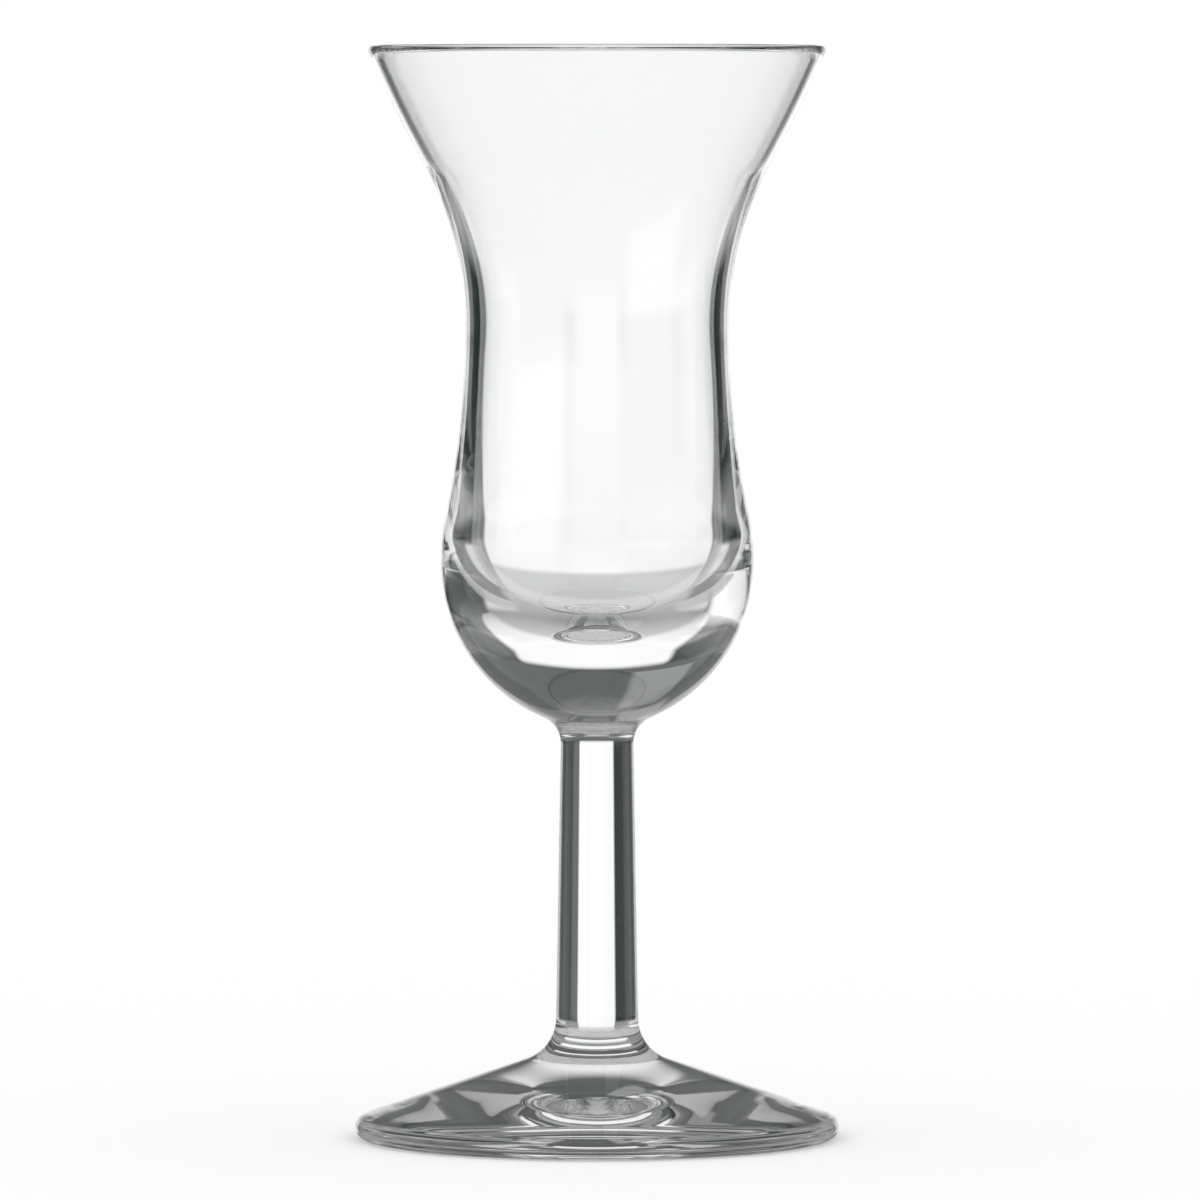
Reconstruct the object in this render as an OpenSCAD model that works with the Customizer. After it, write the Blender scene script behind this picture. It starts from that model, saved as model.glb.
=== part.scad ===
// Stemmed tulip glass for a brim-full measure of spirit.
// Three pieces of clear soda-lime glass, each turned about the Z axis and hot-fused end to end:
// a thick-bottomed bowl, a solid drawn stem and a spread foot. Millimetres, +Z up,
// origin on the table under the middle of the foot.

/* [Foot] */
// Diameter of the foot over its rounded edge
foot_d = 51; // [44:0.5:60]
// Height of the foot, from the table to the seam with the stem
foot_h = 12.7; // [11:0.1:16]
// Thickness of the rounded edge of the foot
foot_edge_t = 2.4; // [1.6:0.1:3.2]
// Radius of the hollow curve from the stem into the top of the foot
foot_fillet_r = 4.7; // [3:0.1:6]
// Width of the flat ring that the glass rests on
rest_ring_w = 2.6; // [1.5:0.1:4]
// Rise of the hollow under the foot, at its middle
kick_h = 1.4; // [0.6:0.1:2.4]
// Radius that leads from the resting ring into the hollow
kick_blend_r = 30; // [10:1:60]

/* [Stem] */
// Length of the stem between its two seams
stem_l = 28.9; // [20:0.1:45]
// Diameter of the stem at the seam with the foot
stem_foot_d = 8.7; // [7.5:0.1:10]
// Diameter of the stem at the seam with the bowl
stem_neck_d = 7.7; // [6.4:0.1:9]

/* [Bowl outside] */
// Height of the widest part of the belly above the seam with the stem
belly_h = 19.1; // [17:0.1:22]
// Outer diameter of the belly
belly_d = 32.9; // [31:0.1:38]
// Radius of the hollow curve from the stem into the underside of the bowl
neck_fillet_r = 3; // [2:0.1:5]
// Radius of the shoulder above the widest part of the belly
shoulder_r = 24; // [18:1:55]
// Height of the waist above the widest part of the belly
waist_h = 25; // [20:0.1:32]
// Outer diameter of the waist
waist_d = 27.7; // [25.5:0.1:29]
// Height of the rim above the waist
flare_h = 29.3; // [27:0.1:36]
// Radius of the curve that opens the bowl out above the waist
flare_r = 35; // [30:0.2:38]
// Radius of the slight crown of the lip, from the opening curve to the rim
lip_r = 120; // [80:5:300]
// Outer diameter of the rim
rim_d = 48; // [45:0.5:51]
// Thickness of the fire-polished rim, which is fully round
rim_t = 1.1; // [0.8:0.05:1.4]

/* [Bowl inside] */
// Thickness of the glass between the seam with the stem and the lowest point of the well
floor_t = 11.4; // [9:0.1:14]
// Radius of the dished floor of the well
floor_r = 24; // [18:1:60]
// Radius of the rounded corner between the floor and the wall of the well
well_corner_r = 9.6; // [7:0.1:11]
// Thickness of the wall at the level of the waist
waist_wall = 1.55; // [1.2:0.05:2.4]
// How far the widest part of the well lies inside the belly
belly_wall = 3.1; // [2.6:0.05:4.4]
// Radius of the inner curve that opens the well out above the waist
well_flare_r = 32.4; // [29:0.2:37]
// Radius of the slight crown of the lip on its inner side
well_lip_r = 130; // [80:5:200]

/* [Hidden] */
$fn = 160;

glass_colour = [0.86, 0.91, 0.90, 0.45];

// How far a drawn arc may lie from its true curve
arc_gap = 0.004;

// Radii
foot_r = foot_d / 2;
foot_edge_r = foot_edge_t / 2;
stem_foot_r = stem_foot_d / 2;
neck_r = stem_neck_d / 2;
belly_r = belly_d / 2;
waist_r = waist_d / 2;
rim_r = rim_d / 2;
rim_edge_r = rim_t / 2;
well_r = belly_r - belly_wall;
well_waist_r = waist_r - waist_wall;

// Levels above the table
foot_seam_z = foot_h;
bowl_seam_z = foot_seam_z + stem_l;
belly_z = bowl_seam_z + belly_h;
waist_z = belly_z + waist_h;
rim_z = waist_z + flare_h;
floor_z = bowl_seam_z + floor_t;

// Outlines are drawn as [distance from the axis, height].
outward = [1, 0];
inward = [-1, 0];
upward = [0, 1];

function heading(angle) = [cos(angle), sin(angle)];
function bearing(v) = atan2(v.y, v.x);

// A straight line that touches two circles. Each offset is the signed distance from a circle's
// centre to the line, along the line's normal; pick chooses between the two lines that exist.
// Returns the touching point on each circle.
function touching_line(c1, offset1, c2, offset2, pick) =
    let (
        v = c2 - c1,
        normal = heading(bearing(v) + pick * acos((offset1 - offset2) / norm(v)))
    )
    [c1 + offset1 * normal, c2 + offset2 * normal];

// The point at distance r1 from c1 and r2 from c2 that lies to the right of the way from c1 to c2.
function crossing(c1, r1, c2, r2) =
    let (
        v = c2 - c1,
        far = norm(v),
        turn = acos((far * far + r1 * r1 - r2 * r2) / (2 * far * r1))
    )
    c1 + r1 * heading(bearing(v) - turn);

// The point on the circle of radius r about c that faces the point q.
function facing(c, r, q) = c + r * (q - c) / norm(q - c);

// An ogee: two arcs that lead from point a to point b, square to the direction toward at both
// ends. The arc at a has radius ra. Returns the centre at a, the centre at b and the point
// where the arcs meet.
function ogee(a, b, toward, ra) =
    let (
        span = b - a,
        both = (span * span) / (2 * span * toward),
        ca = a + ra * toward,
        cb = b - (both - ra) * toward
    )
    [ca, cb, ca + (cb - ca) * ra / both];

// The points of the shorter arc about c that leads from p to q. The point p itself is left out.
function arc_to(c, p, q) =
    let (
        r = norm(p - c),
        first = bearing(p - c),
        swing = (bearing(q - c) - first + 540) % 360 - 180,
        steps = ceil(abs(swing) / (2 * acos(1 - arc_gap / r)))
    )
    [for (i = [1 : steps]) c + r * heading(first + swing * i / steps)];

// Foot: a bull-nosed disc that rises in a shallow cone and a hollow curve to the stem, with a
// flat resting ring and a slight hollow beneath.
module foot() {
    edge_c = [foot_r - foot_edge_r, foot_edge_r];
    collar = [stem_foot_r, foot_seam_z];
    fillet_c = collar + foot_fillet_r * outward;
    slope = touching_line(edge_c, foot_edge_r, fillet_c, -foot_fillet_r, -1);
    ring_outer = [edge_c.x, 0];
    ring_inner = ring_outer + rest_ring_w * inward;
    crown = [0, kick_h];
    kick = ogee(ring_inner, crown, upward, kick_blend_r);

    outline = concat(
        [[0, foot_seam_z], collar],
        arc_to(fillet_c, collar, slope[1]),
        [slope[0]],
        arc_to(edge_c, slope[0], ring_outer),
        [ring_inner],
        arc_to(kick[0], ring_inner, kick[2]),
        arc_to(kick[1], kick[2], crown)
    );

    color(glass_colour)
    rotate_extrude()
    polygon(outline);
}

// Stem: a solid rod that tapers a little towards the bowl.
module stem() {
    color(glass_colour)
    translate([0, 0, foot_seam_z])
    cylinder(h = stem_l, r1 = stem_foot_r, r2 = neck_r);
}

// Bowl: a thick round base that narrows to a waist and opens to a flared, fire-polished rim,
// around a well with a dished floor, a rounded corner and a wall that leans in a little to the waist.
module bowl() {
    seam = [neck_r, bowl_seam_z];
    belly = [belly_r, belly_z];
    waist = [waist_r, waist_z];
    neck = ogee(seam, belly, outward, neck_fillet_r);
    shoulder = ogee(belly, waist, inward, shoulder_r);

    rim_c = [rim_r - rim_edge_r, rim_z - rim_edge_r];
    rim_top = rim_c + rim_edge_r * upward;
    flare_c = waist + flare_r * outward;
    lip_c = crossing(rim_c, lip_r - rim_edge_r, flare_c, lip_r + flare_r);
    lip_foot = facing(flare_c, flare_r, lip_c);
    lip_edge = facing(rim_c, -rim_edge_r, lip_c);

    well_flare_c = [well_waist_r + well_flare_r, waist_z];
    floor_c = [0, floor_z + floor_r];
    corner_x = well_r - well_corner_r;
    corner_c = [corner_x, floor_c.y - sqrt(pow(floor_r - well_corner_r, 2) - corner_x * corner_x)];
    well_lip_c = crossing(rim_c, well_lip_r + rim_edge_r, well_flare_c, well_lip_r + well_flare_r);
    well_lip_edge = facing(rim_c, rim_edge_r, well_lip_c);
    well_lip_foot = facing(well_flare_c, well_flare_r, well_lip_c);
    well_side = touching_line(well_flare_c, -well_flare_r, corner_c, well_corner_r, 1);
    floor_edge = facing(floor_c, floor_r, corner_c);
    floor_low = [0, floor_z];

    outline = concat(
        [[0, bowl_seam_z], seam],
        arc_to(neck[0], seam, neck[2]),
        arc_to(neck[1], neck[2], belly),
        arc_to(shoulder[0], belly, shoulder[2]),
        arc_to(shoulder[1], shoulder[2], waist),
        arc_to(flare_c, waist, lip_foot),
        arc_to(lip_c, lip_foot, lip_edge),
        arc_to(rim_c, lip_edge, rim_top),
        arc_to(rim_c, rim_top, well_lip_edge),
        arc_to(well_lip_c, well_lip_edge, well_lip_foot),
        arc_to(well_flare_c, well_lip_foot, well_side[0]),
        [well_side[1]],
        arc_to(corner_c, well_side[1], floor_edge),
        arc_to(floor_c, floor_edge, floor_low)
    );

    color(glass_colour)
    rotate_extrude()
    polygon(outline);
}

foot();
stem();
bowl();
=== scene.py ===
from math import acos, atan2, ceil, cos, pi, sin, sqrt, tau

import bpy
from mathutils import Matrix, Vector


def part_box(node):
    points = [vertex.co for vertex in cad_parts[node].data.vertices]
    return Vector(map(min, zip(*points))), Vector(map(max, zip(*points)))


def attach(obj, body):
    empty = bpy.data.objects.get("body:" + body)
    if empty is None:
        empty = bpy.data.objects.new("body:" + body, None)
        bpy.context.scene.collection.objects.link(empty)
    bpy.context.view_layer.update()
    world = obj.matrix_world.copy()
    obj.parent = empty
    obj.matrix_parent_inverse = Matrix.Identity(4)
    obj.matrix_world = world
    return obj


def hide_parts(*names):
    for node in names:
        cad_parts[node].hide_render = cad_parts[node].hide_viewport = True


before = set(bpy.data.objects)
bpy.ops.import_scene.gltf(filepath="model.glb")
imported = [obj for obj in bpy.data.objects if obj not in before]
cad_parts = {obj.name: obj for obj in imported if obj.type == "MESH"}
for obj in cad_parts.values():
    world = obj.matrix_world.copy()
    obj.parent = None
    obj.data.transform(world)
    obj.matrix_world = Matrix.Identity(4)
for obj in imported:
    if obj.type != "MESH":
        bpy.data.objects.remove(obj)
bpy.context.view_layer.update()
scene = bpy.context.scene

# Sizes, in metres. The seam levels, the rim level and the largest radii come from the frame.
MM = 0.001
foot_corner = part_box("foot")[1]
stem_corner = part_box("stem")[1]
bowl_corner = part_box("bowl")[1]

FOOT_R = foot_corner.x
FOOT_SEAM_Z = foot_corner.z
FOOT_EDGE_R = 1.2 * MM
FOOT_FILLET_R = 4.7 * MM
REST_RING_W = 2.6 * MM
KICK_H = 1.4 * MM
KICK_BLEND_R = 30 * MM

STEM_FOOT_R = stem_corner.x
NECK_R = 3.85 * MM
BOWL_SEAM_Z = stem_corner.z

BELLY_R = 16.45 * MM
BELLY_H = 19.1 * MM
BELLY_Z = BOWL_SEAM_Z + BELLY_H
NECK_FILLET_R = 3 * MM
SHOULDER_R = 24 * MM
WAIST_R = 13.85 * MM
WAIST_H = 25 * MM
WAIST_Z = BELLY_Z + WAIST_H
FLARE_R = 35 * MM
LIP_R = 120 * MM
RIM_R = bowl_corner.x
RIM_Z = bowl_corner.z
RIM_EDGE_R = 0.55 * MM

FLOOR_T = 11.4 * MM
FLOOR_Z = BOWL_SEAM_Z + FLOOR_T
WELL_FLOOR_R = 24 * MM
WELL_CORNER_R = 9.6 * MM
BELLY_WALL = 3.1 * MM
WELL_R = BELLY_R - BELLY_WALL
WAIST_WALL = 1.55 * MM
WELL_WAIST_R = WAIST_R - WAIST_WALL
WELL_FLARE_R = 32.4 * MM
WELL_LIP_R = 130 * MM

TURNS = 240  # steps round the axis
ARC_GAP = 0.001 * MM  # largest gap between a drawn arc and its true curve
ON_AXIS = 1e-9  # a point nearer to the axis than this lies on it

GLASS_COLOUR = (0.993, 0.997, 0.995, 1)
GLASS_IOR = 1.52
WAVES_PER_METRE = 110
WAVE_H = 0.012 * MM

TABLE_R = 0.5
TABLE_SIDES = 128
TABLE_GAP = 0.08 * MM  # air under the resting ring, which a rigid glass touches at a few points only
UNDER_FOOT_R = FOOT_R + 1 * MM  # how far out the table shows through the glass
REST_RING_R = FOOT_R - FOOT_EDGE_R - REST_RING_W / 2  # middle of the resting ring
PAINTED_EDGE_SHADOW = 0.75  # painted shadow: how much darker the table's colour is made, for light through the glass, under the edge of the foot
PAINTED_EDGE_SHADOW_SOFT = 1 * MM

WHITE = (1, 1, 1, 1)
FLAG_COLOUR = (0.019, 0.027, 0.022)  # what the dark flags between the panels still give

# The camera has a long lens a little above the rim and looks slightly down.
CAMERA_AWAY = 1.2605
CAMERA_HIGH = 0.124
AIM_X = 0.0003
AIM_Z = 0.0567
LENS_MM = 360
SENSOR_MM = 36
FARTHEST_SEEN = 20

BOUNCES = 96  # light runs round inside the bead of the rim many times
CLEAR_BOUNCES = 32


# Outlines are drawn in the plane of (distance from the axis, height).
def vec(x, z):
    return Vector((x, z))


OUTWARD = vec(1, 0)
INWARD = vec(-1, 0)
UPWARD = vec(0, 1)


def heading(angle):
    return vec(cos(angle), sin(angle))


def bearing(v):
    return atan2(v.y, v.x)


def touching_line(c1, offset1, c2, offset2, pick):
    """The straight line that touches two circles, as its point on each. An offset is the signed distance
    from a circle's centre to the line, and pick chooses between the two lines that exist."""
    v = c2 - c1
    normal = heading(bearing(v) + pick * acos((offset1 - offset2) / v.length))
    return c1 + offset1 * normal, c2 + offset2 * normal


def crossing(c1, r1, c2, r2):
    """The point at r1 from c1 and r2 from c2 that lies to the right of the way from c1 to c2."""
    v = c2 - c1
    far = v.length
    turn = acos((far * far + r1 * r1 - r2 * r2) / (2 * far * r1))
    return c1 + r1 * heading(bearing(v) - turn)


def facing(c, r, q):
    """The point on the circle of radius r about c that faces q."""
    return c + r * (q - c).normalized()


def ogee(a, b, toward, ra):
    """Two arcs from a to b, square to the direction toward at both ends. The arc at a has radius ra.
    Gives the centre at a, the centre at b and the point where the arcs meet."""
    span = b - a
    both = span.length_squared / (2 * span.dot(toward))
    ca = a + ra * toward
    cb = b - (both - ra) * toward
    return ca, cb, ca + (cb - ca) * ra / both


def arc_to(c, p, q):
    """The points of the shorter arc about c from p to q, without p itself."""
    r = (p - c).length
    first = bearing(p - c)
    swing = (bearing(q - c) - first + 3 * pi) % tau - pi
    steps = ceil(abs(swing) / (2 * acos(1 - ARC_GAP / r)))
    return [c + r * heading(first + swing * i / steps) for i in range(1, steps + 1)]


def line_to(p, q, steps):
    """The points of the straight line from p to q, without p itself."""
    return [p + (q - p) * i / steps for i in range(1, steps + 1)]


# Each outline is a list of runs. A run of two points is a flat seam between two pieces.
def foot_outline():
    edge_c = vec(FOOT_R - FOOT_EDGE_R, FOOT_EDGE_R)
    collar = vec(STEM_FOOT_R, FOOT_SEAM_Z)
    fillet_c = collar + FOOT_FILLET_R * OUTWARD
    slope_out, slope_in = touching_line(edge_c, FOOT_EDGE_R, fillet_c, -FOOT_FILLET_R, -1)
    ring_outer = vec(edge_c.x, 0)
    ring_inner = ring_outer + REST_RING_W * INWARD
    crown = vec(0, KICK_H)
    blend_c, dome_c, meet = ogee(ring_inner, crown, UPWARD, KICK_BLEND_R)
    return [
        [crown] + arc_to(dome_c, crown, meet) + arc_to(blend_c, meet, ring_inner)
        + line_to(ring_inner, ring_outer, steps=3) + arc_to(edge_c, ring_outer, slope_out)
        + line_to(slope_out, slope_in, steps=12) + arc_to(fillet_c, slope_in, collar),
        [collar, vec(0, FOOT_SEAM_Z)],
    ]


def stem_outline():
    low = vec(STEM_FOOT_R, FOOT_SEAM_Z)
    high = vec(NECK_R, BOWL_SEAM_Z)
    return [
        [vec(0, FOOT_SEAM_Z), low],
        [low] + line_to(low, high, steps=24),
        [high, vec(0, BOWL_SEAM_Z)],
    ]


def bowl_outline():
    seam = vec(NECK_R, BOWL_SEAM_Z)
    belly = vec(BELLY_R, BELLY_Z)
    waist = vec(WAIST_R, WAIST_Z)
    neck_c, bulb_c, neck_meet = ogee(seam, belly, OUTWARD, NECK_FILLET_R)
    shoulder_c, hollow_c, shoulder_meet = ogee(belly, waist, INWARD, SHOULDER_R)

    rim_c = vec(RIM_R - RIM_EDGE_R, RIM_Z - RIM_EDGE_R)
    rim_top = rim_c + RIM_EDGE_R * UPWARD
    flare_c = waist + FLARE_R * OUTWARD
    lip_c = crossing(rim_c, LIP_R - RIM_EDGE_R, flare_c, LIP_R + FLARE_R)
    lip_foot = facing(flare_c, FLARE_R, lip_c)
    lip_edge = facing(rim_c, -RIM_EDGE_R, lip_c)

    well_flare_c = vec(WELL_WAIST_R + WELL_FLARE_R, WAIST_Z)
    well_lip_c = crossing(rim_c, WELL_LIP_R + RIM_EDGE_R, well_flare_c, WELL_LIP_R + WELL_FLARE_R)
    well_lip_edge = facing(rim_c, RIM_EDGE_R, well_lip_c)
    well_lip_foot = facing(well_flare_c, WELL_FLARE_R, well_lip_c)
    floor_c = vec(0, FLOOR_Z + WELL_FLOOR_R)
    corner_x = WELL_R - WELL_CORNER_R
    corner_c = vec(corner_x, floor_c.y - sqrt((WELL_FLOOR_R - WELL_CORNER_R) ** 2 - corner_x ** 2))
    side_high, side_low = touching_line(well_flare_c, -WELL_FLARE_R, corner_c, WELL_CORNER_R, 1)
    floor_edge = facing(floor_c, WELL_FLOOR_R, corner_c)
    floor_low = vec(0, FLOOR_Z)
    return [
        [vec(0, BOWL_SEAM_Z), seam],
        [seam] + arc_to(neck_c, seam, neck_meet) + arc_to(bulb_c, neck_meet, belly)
        + arc_to(shoulder_c, belly, shoulder_meet) + arc_to(hollow_c, shoulder_meet, waist)
        + arc_to(flare_c, waist, lip_foot) + arc_to(lip_c, lip_foot, lip_edge)
        + arc_to(rim_c, lip_edge, rim_top) + arc_to(rim_c, rim_top, well_lip_edge)
        + arc_to(well_lip_c, well_lip_edge, well_lip_foot)
        + arc_to(well_flare_c, well_lip_foot, side_high) + line_to(side_high, side_low, steps=16)
        + arc_to(corner_c, side_low, floor_edge) + arc_to(floor_c, floor_edge, floor_low),
    ]


# Meshes
def place_object(name, data):
    obj = bpy.data.objects.new(name, data)
    scene.collection.objects.link(obj)
    return obj


def band(last, this):
    """The faces between two rings of vertices, of which one may be a point on the axis."""
    for i in range(TURNS):
        j = (i + 1) % TURNS
        if len(last) == 1:
            yield last[0], this[j], this[i]
        elif len(this) == 1:
            yield last[i], last[j], this[0]
        else:
            yield last[i], last[j], this[j], this[i]


def lathe(name, runs, glass, seam):
    """A closed piece, turned about the axis. Its edges between runs are sharp."""
    verts, faces, materials, sharp = [], [], [], set()

    def ring(p):
        start = len(verts)
        if p.x < ON_AXIS:
            verts.append((0, 0, p.y))
        else:
            angles = (tau * i / TURNS for i in range(TURNS))
            verts.extend((p.x * cos(a), p.x * sin(a), p.y) for a in angles)
        return range(start, len(verts))

    last = ring(runs[0][0])
    for run in runs:
        is_seam = len(run) == 2
        for p in run[1:]:
            this = ring(p)
            faces.extend(band(last, this))
            materials.extend([int(is_seam)] * TURNS)
            last = this
        if run is not runs[-1]:
            sharp.update(frozenset((last[i], last[(i + 1) % TURNS])) for i in range(TURNS))

    mesh = bpy.data.meshes.new(name)
    mesh.from_pydata(verts, [], faces)
    mesh.materials.append(glass)
    mesh.materials.append(seam)
    mesh.polygons.foreach_set("material_index", materials)
    mesh.polygons.foreach_set("use_smooth", [True] * len(faces))
    for edge in mesh.edges:
        edge.use_edge_sharp = frozenset(edge.vertices) in sharp
    mesh.update()
    return place_object(name, mesh)


# Node trees
class Nodes:
    """Fills a node tree, which it empties first."""

    def __init__(self, tree):
        tree.nodes.clear()
        self.add = tree.nodes.new
        self.link = tree.links.new

    def math(self, operation, *values):
        node = self.add("ShaderNodeMath")
        node.operation = operation
        for socket, value in zip(node.inputs, values):
            if isinstance(value, (int, float)):
                socket.default_value = value
            else:
                self.link(value, socket)
        return node.outputs[0]

    def times(self, first, *more):
        for value in more:
            first = self.math("MULTIPLY", first, value)
        return first

    def brightest(self, first, *more):
        for value in more:
            first = self.math("MAXIMUM", first, value)
        return first

    def above(self, value, low, high):
        """0 below low, 1 above high, smooth between."""
        node = self.add("ShaderNodeMapRange")
        node.interpolation_type = "SMOOTHSTEP"
        self.link(value, node.inputs["Value"])
        node.inputs["From Min"].default_value = low
        node.inputs["From Max"].default_value = high
        return node.outputs["Result"]

    def below(self, value, low, high):
        """1 below low, 0 above high, smooth between."""
        return self.math("SUBTRACT", 1.0, self.above(value, low, high))

    def between(self, value, low, high, soft):
        """1 from low to high, with edges that are soft wide."""
        return self.times(
            self.above(value, low - soft / 2, low + soft / 2),
            self.below(value, high - soft / 2, high + soft / 2),
        )

    def bent(self):
        """1 for light that the glass bends or mirrors."""
        path = self.add("ShaderNodeLightPath")
        return self.math("MAXIMUM", path.outputs["Is Glossy Ray"], path.outputs["Is Transmission Ray"])

    def mix(self, factor, first, second):
        node = self.add("ShaderNodeMixShader")
        self.link(factor, node.inputs["Fac"])
        self.link(first, node.inputs[1])
        self.link(second, node.inputs[2])
        return node.outputs["Shader"]

    def finish(self, output, shader):
        self.link(shader, self.add(output).inputs["Surface"])


# Materials
def new_material(name):
    mat = bpy.data.materials.new(name)
    mat.use_nodes = True
    return mat, Nodes(mat.node_tree)


def clear_glass():
    """Clear glass with faint, slow waves in its polished surface."""
    mat, n = new_material("clear_glass")
    shader = n.add("ShaderNodeBsdfPrincipled")
    shader.inputs["Base Color"].default_value = GLASS_COLOUR
    shader.inputs["Roughness"].default_value = 0.0
    shader.inputs["IOR"].default_value = GLASS_IOR
    shader.inputs["Transmission Weight"].default_value = 1.0
    place = n.add("ShaderNodeTexCoord")
    waves = n.add("ShaderNodeTexNoise")
    waves.inputs["Scale"].default_value = WAVES_PER_METRE
    waves.inputs["Detail"].default_value = 1.0
    bump = n.add("ShaderNodeBump")
    bump.inputs["Strength"].default_value = 1.0
    bump.inputs["Distance"].default_value = WAVE_H
    n.link(place.outputs["Object"], waves.inputs["Vector"])
    n.link(waves.outputs["Fac"], bump.inputs["Height"])
    n.link(bump.outputs["Normal"], shader.inputs["Normal"])
    n.finish("ShaderNodeOutputMaterial", shader.outputs["BSDF"])
    return mat


def fused_seam():
    """The hidden face between two pieces, which are one body of glass there."""
    mat, n = new_material("fused_seam")
    clear = n.add("ShaderNodeBsdfTransparent")
    n.finish("ShaderNodeOutputMaterial", clear.outputs["BSDF"])
    return mat


def white_table():
    """Plain white. Through the glass, only the part under the foot shows, with a painted shadow that
    darkens its colour under the foot's edge, and further out the panels of the studio show instead."""
    mat, n = new_material("table")
    place = n.add("ShaderNodeTexCoord")
    reach = n.add("ShaderNodeVectorMath")
    reach.operation = "LENGTH"
    n.link(place.outputs["Object"], reach.inputs[0])
    bent = n.bent()
    # Painted shadow: for light through the glass, the table's colour is made darker outward from the middle
    # of the resting ring.
    painted_shadow_at_edge = n.above(reach.outputs["Value"], REST_RING_R, REST_RING_R + PAINTED_EDGE_SHADOW_SOFT)
    outside = n.math("GREATER_THAN", reach.outputs["Value"], UNDER_FOOT_R)
    white = n.add("ShaderNodeBsdfDiffuse")
    n.link(n.math("SUBTRACT", 1.0, n.times(bent, painted_shadow_at_edge, PAINTED_EDGE_SHADOW)), white.inputs["Color"])
    clear = n.add("ShaderNodeBsdfTransparent")
    seen = n.mix(n.times(bent, outside), white.outputs["BSDF"], clear.outputs["BSDF"])
    n.finish("ShaderNodeOutputMaterial", seen)
    return mat


# The glass
glass = clear_glass()
seam = fused_seam()
for node, outline in (("foot", foot_outline()), ("stem", stem_outline()), ("bowl", bowl_outline())):
    piece = lathe(node + "_glass", outline, glass, seam)
    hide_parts(node)
    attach(piece, "root")


# The table
def table_disc():
    mesh = bpy.data.meshes.new("table")
    angles = [tau * i / TABLE_SIDES for i in range(TABLE_SIDES)]
    corners = [(TABLE_R * cos(a), TABLE_R * sin(a), -TABLE_GAP) for a in angles]
    mesh.from_pydata(corners, [], [list(range(TABLE_SIDES))])
    mesh.materials.append(white_table())
    return place_object("table", mesh)


table = table_disc()


# The light
def studio():
    """White all round for the camera and the table. For what the camera sees bent or mirrored in the glass:
    a white backdrop with a dim wing, a softbox to the left of the camera, pale panels at the sides, in
    front and below, and a dim ceiling, with dark flags between them."""
    world = bpy.data.worlds.new("studio")
    world.use_nodes = True
    scene.world = world
    n = Nodes(world.node_tree)

    # Directions in degrees: turn to the right from straight behind the glass, and rise above the level.
    place = n.add("ShaderNodeTexCoord")
    split = n.add("ShaderNodeSeparateXYZ")
    n.link(place.outputs["Generated"], split.inputs[0])
    x, y, z = split.outputs
    turn = n.math("DEGREES", n.math("ARCTAN2", x, y))
    rise = n.math("DEGREES", n.math("ARCSINE", z))
    aside = n.math("ABSOLUTE", turn)

    # Each panel is the span that it covers, times its brightness.
    backdrop = n.between(turn, -18.5, 20.5, soft=3)
    right_wing = n.times(n.between(turn, 0, 29, soft=5), 0.07)
    shade = n.math("SUBTRACT", 1.0, n.times(n.below(rise, -30, -26), 0.38))
    behind = n.times(n.brightest(backdrop, right_wing), n.below(rise, 1, 13), shade)
    softbox = n.times(n.between(turn, -151, -96, soft=12), n.between(rise, -25, 27, soft=10))
    front = n.times(n.above(aside, 153, 165), n.between(rise, -25, 10, soft=22), 0.75)
    sides = n.times(n.between(aside, 64, 94, soft=8), n.below(rise, 5, 13), 0.68)
    low_back = n.times(n.below(rise, -15, -9), 0.26)
    low_corners = n.times(n.above(aside, 36, 46), n.below(rise, -17, -11), 0.72)
    low_sides = n.times(n.above(aside, 58, 68), n.below(rise, -10, -3), 0.85)
    low_middle = n.times(n.below(rise, -52, -44), 0.58)
    slant = n.times(n.between(turn, -41, -12, soft=6), n.between(rise, 24, 58, soft=8), 0.27)
    ceiling = n.times(n.above(rise, 4, 12), 0.08)
    zenith = n.times(n.above(rise, 66, 74), 0.5)
    level = n.brightest(
        behind, softbox, front, sides, low_back, low_corners, low_sides, low_middle, slant, ceiling, zenith
    )

    colour = n.add("ShaderNodeVectorMath")
    colour.operation = "ADD"
    n.link(level, colour.inputs[0])
    colour.inputs[1].default_value = FLAG_COLOUR
    panels = n.add("ShaderNodeBackground")
    n.link(colour.outputs["Vector"], panels.inputs["Color"])
    white = n.add("ShaderNodeBackground")
    white.inputs["Color"].default_value = WHITE

    path = n.add("ShaderNodeLightPath")
    not_from_table = n.math("LESS_THAN", path.outputs["Diffuse Depth"], 0.5)
    in_glass = n.times(n.bent(), not_from_table)
    seen = n.mix(in_glass, white.outputs["Background"], panels.outputs["Background"])
    n.finish("ShaderNodeOutputWorld", seen)


studio()

# The camera
camera_data = bpy.data.cameras.new("camera")
camera_data.lens = LENS_MM
camera_data.sensor_width = SENSOR_MM
camera_data.clip_end = FARTHEST_SEEN
camera = place_object("camera", camera_data)
camera.location = (0, -CAMERA_AWAY, CAMERA_HIGH)
aim = Vector((AIM_X, 0, AIM_Z)) - camera.location
camera.rotation_euler = aim.to_track_quat("-Z", "Y").to_euler()
scene.camera = camera

scene.view_settings.view_transform = "Standard"
scene.cycles.max_bounces = BOUNCES
scene.cycles.transmission_bounces = BOUNCES
scene.cycles.glossy_bounces = BOUNCES
scene.cycles.transparent_max_bounces = CLEAR_BOUNCES
